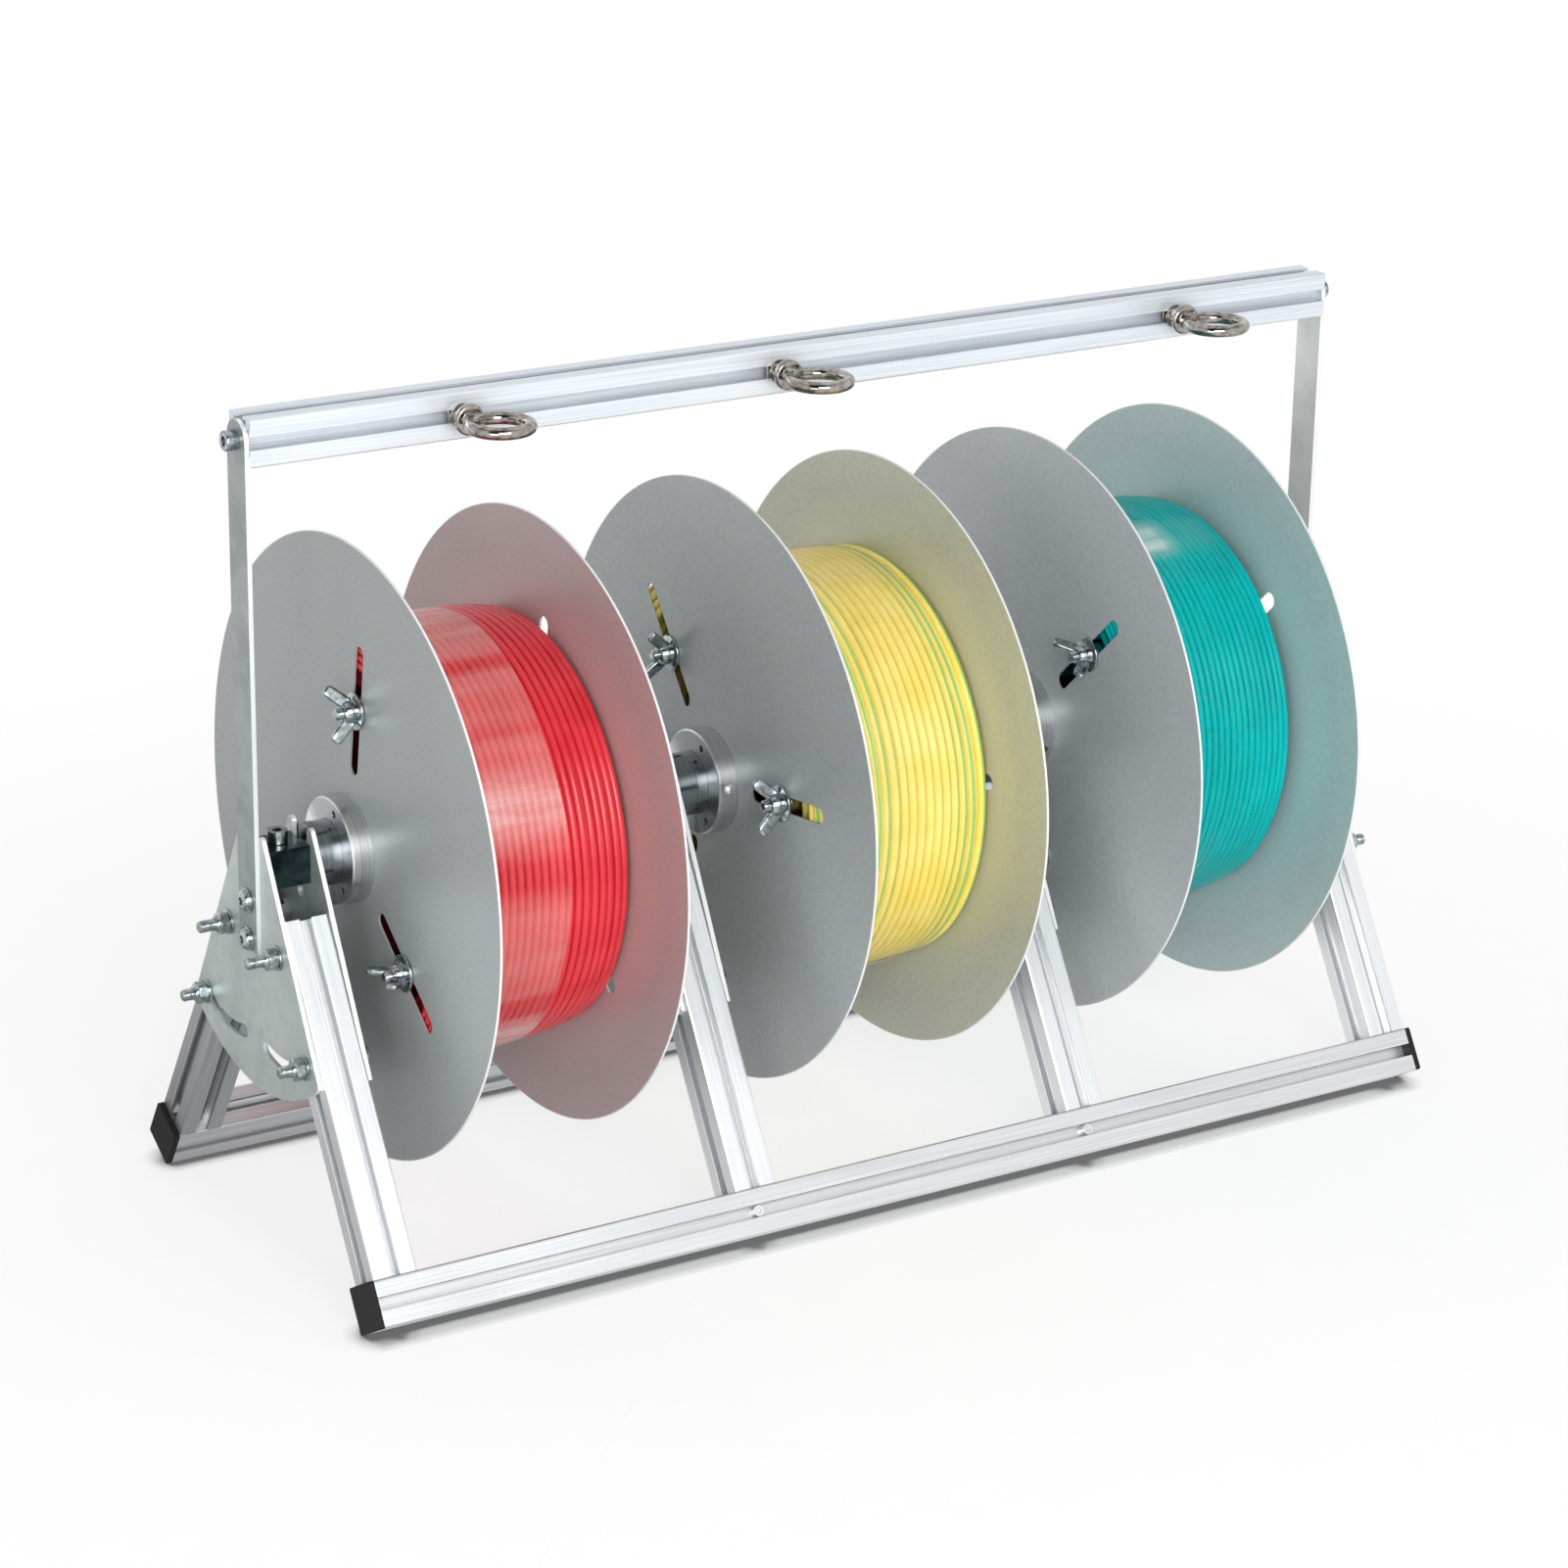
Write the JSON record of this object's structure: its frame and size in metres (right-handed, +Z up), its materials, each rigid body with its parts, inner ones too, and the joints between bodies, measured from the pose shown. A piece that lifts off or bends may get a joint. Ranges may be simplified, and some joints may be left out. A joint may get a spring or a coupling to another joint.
{
  "type": "cable reel stand",
  "caption": "Folding A-frame bench stand of T-slot profile carrying wire reels on one axle, with clamped core pins, a top rail and eye bolts as wire guides.",
  "frame": {"origin": "on the floor under the middle of the stand", "axes": "+X along the axle, left to right as seen from the side with the eye bolts; +Y to the rear; +Z up"},
  "size_m": [0.8494, 0.4, 0.5475],
  "materials": {
    "galvanised_steel": "spangled, semi-matt",
    "aluminium_profile": "natural anodised",
    "cap_plastic": "matt black",
    "axle_steel": "ground",
    "block_steel": "dark, glossy",
    "flange_grey": "semi-gloss grey",
    "ring_aluminium": "turned",
    "sleeve_steel": "polished",
    "wire_red": "extruded",
    "wire_yellow": "extruded, green stripe",
    "wire_teal": "extruded",
    "eye_chrome": "polished",
    "zinc_fasteners": "bright zinc"
  },
  "bodies": {
    "head": {"side_plate_1": "galvanised_steel", "side_plate_2": "galvanised_steel", "side_plate_3": "galvanised_steel", "side_plate_4": "galvanised_steel", "side_plate_5": "galvanised_steel", "side_plate_6": "galvanised_steel", "side_plate_7": "galvanised_steel", "side_plate_8": "galvanised_steel", "upright_left": "galvanised_steel", "upright_right": "galvanised_steel", "top_rail": "aluminium_profile", "axle": "axle_steel", "axle_blocks": "block_steel", "pivot_bolts": "zinc_fasteners", "upright_screws": "zinc_fasteners"},
    "front_frame": {"front_rail": "aluminium_profile", "front_leg_1": "aluminium_profile", "front_leg_2": "aluminium_profile", "front_leg_3": "aluminium_profile", "front_leg_4": "aluminium_profile", "front_end_caps": "cap_plastic", "front_slot_bolts": "zinc_fasteners", "front_leg_screws": "zinc_fasteners"},
    "rear_frame": {"rear_rail": "aluminium_profile", "rear_leg_1": "aluminium_profile", "rear_leg_2": "aluminium_profile", "rear_leg_3": "aluminium_profile", "rear_leg_4": "aluminium_profile", "rear_end_caps": "cap_plastic", "rear_slot_bolts": "zinc_fasteners", "rear_leg_screws": "zinc_fasteners"},
    "reel_1": {"flange_left_1": "flange_grey", "flange_right_1": "flange_grey", "hub_rings_1": "ring_aluminium", "sleeve_1": "sleeve_steel", "coil_1": "wire_red"},
    "reel_2": {"flange_left_2": "flange_grey", "flange_right_2": "flange_grey", "hub_rings_2": "ring_aluminium", "sleeve_2": "sleeve_steel", "coil_2": "wire_yellow"},
    "reel_3": {"flange_left_3": "flange_grey", "flange_right_3": "flange_grey", "hub_rings_3": "ring_aluminium", "sleeve_3": "sleeve_steel", "coil_3": "wire_teal"},
    "core_pin_1_1": {"core_pin_1_1": "zinc_fasteners"},
    "core_pin_1_2": {"core_pin_1_2": "zinc_fasteners"},
    "core_pin_1_3": {"core_pin_1_3": "zinc_fasteners"},
    "core_pin_2_1": {"core_pin_2_1": "zinc_fasteners"},
    "core_pin_2_2": {"core_pin_2_2": "zinc_fasteners"},
    "core_pin_2_3": {"core_pin_2_3": "zinc_fasteners"},
    "core_pin_3_1": {"core_pin_3_1": "zinc_fasteners"},
    "core_pin_3_2": {"core_pin_3_2": "zinc_fasteners"},
    "core_pin_3_3": {"core_pin_3_3": "zinc_fasteners"},
    "eye_1": {"eye_bolt_1": "eye_chrome"},
    "eye_2": {"eye_bolt_2": "eye_chrome"},
    "eye_3": {"eye_bolt_3": "eye_chrome"},
    "lock_left": {"axle_lock_left": "zinc_fasteners"},
    "lock_right": {"axle_lock_right": "zinc_fasteners"}
  },
  "joints": [
    {"name": "front_fold", "type": "hinge", "parent": "head", "child": "front_frame", "pos_m": [0, -0.035, 0.21032], "axis": [1, 0, 0], "range_deg": [0, 35]},
    {"name": "rear_fold", "type": "hinge", "parent": "head", "child": "rear_frame", "pos_m": [0, 0.035, 0.21032], "axis": [-1, 0, 0], "range_deg": [0, 35]},
    {"name": "reel_1_turn", "type": "hinge", "parent": "head", "child": "reel_1", "pos_m": [-0.27067, 0, 0.25932], "axis": [1, 0, 0], "continuous": true},
    {"name": "reel_2_turn", "type": "hinge", "parent": "head", "child": "reel_2", "pos_m": [-0.0073, 0, 0.25932], "axis": [1, 0, 0], "continuous": true},
    {"name": "reel_3_turn", "type": "hinge", "parent": "head", "child": "reel_3", "pos_m": [0.24217, 0, 0.25932], "axis": [1, 0, 0], "continuous": true},
    {"name": "core_pin_1_1_slide", "type": "slide", "parent": "reel_1", "child": "core_pin_1_1", "axis": [0, -0.1392, 0.9903], "range_m": [-0.0385, 0]},
    {"name": "core_pin_1_2_slide", "type": "slide", "parent": "reel_1", "child": "core_pin_1_2", "axis": [0, -0.788, -0.6157], "range_m": [-0.0385, 0]},
    {"name": "core_pin_1_3_slide", "type": "slide", "parent": "reel_1", "child": "core_pin_1_3", "axis": [0, 0.9272, -0.3746], "range_m": [-0.0385, 0]},
    {"name": "core_pin_2_1_slide", "type": "slide", "parent": "reel_2", "child": "core_pin_2_1", "axis": [0, 0.6018, 0.7986], "range_m": [-0.0325, 0]},
    {"name": "core_pin_2_2_slide", "type": "slide", "parent": "reel_2", "child": "core_pin_2_2", "axis": [0, -0.9925, 0.1219], "range_m": [-0.0325, 0]},
    {"name": "core_pin_2_3_slide", "type": "slide", "parent": "reel_2", "child": "core_pin_2_3", "axis": [0, 0.3907, -0.9205], "range_m": [-0.0325, 0]},
    {"name": "core_pin_3_1_slide", "type": "slide", "parent": "reel_3", "child": "core_pin_3_1", "axis": [0, -0.7254, 0.6884], "range_m": [-0.0395, 0]},
    {"name": "core_pin_3_2_slide", "type": "slide", "parent": "reel_3", "child": "core_pin_3_2", "axis": [0, -0.2334, -0.9724], "range_m": [-0.0395, 0]},
    {"name": "core_pin_3_3_slide", "type": "slide", "parent": "reel_3", "child": "core_pin_3_3", "axis": [0, 0.9588, 0.284], "range_m": [-0.0395, 0]},
    {"name": "eye_1_slide", "type": "slide", "parent": "head", "child": "eye_1", "axis": [1, 0, 0], "range_m": [-0.08, 0.08]},
    {"name": "eye_2_slide", "type": "slide", "parent": "head", "child": "eye_2", "axis": [1, 0, 0], "range_m": [-0.08, 0.08]},
    {"name": "eye_3_slide", "type": "slide", "parent": "head", "child": "eye_3", "axis": [1, 0, 0], "range_m": [-0.08, 0.08]},
    {"name": "axle_lock_left_turn", "type": "hinge", "parent": "head", "child": "lock_left", "pos_m": [-0.385, 0, 0.27132], "axis": [0, 0, 1], "continuous": true},
    {"name": "axle_lock_right_turn", "type": "hinge", "parent": "head", "child": "lock_right", "pos_m": [0.385, 0, 0.27132], "axis": [0, 0, 1], "continuous": true}
  ]
}
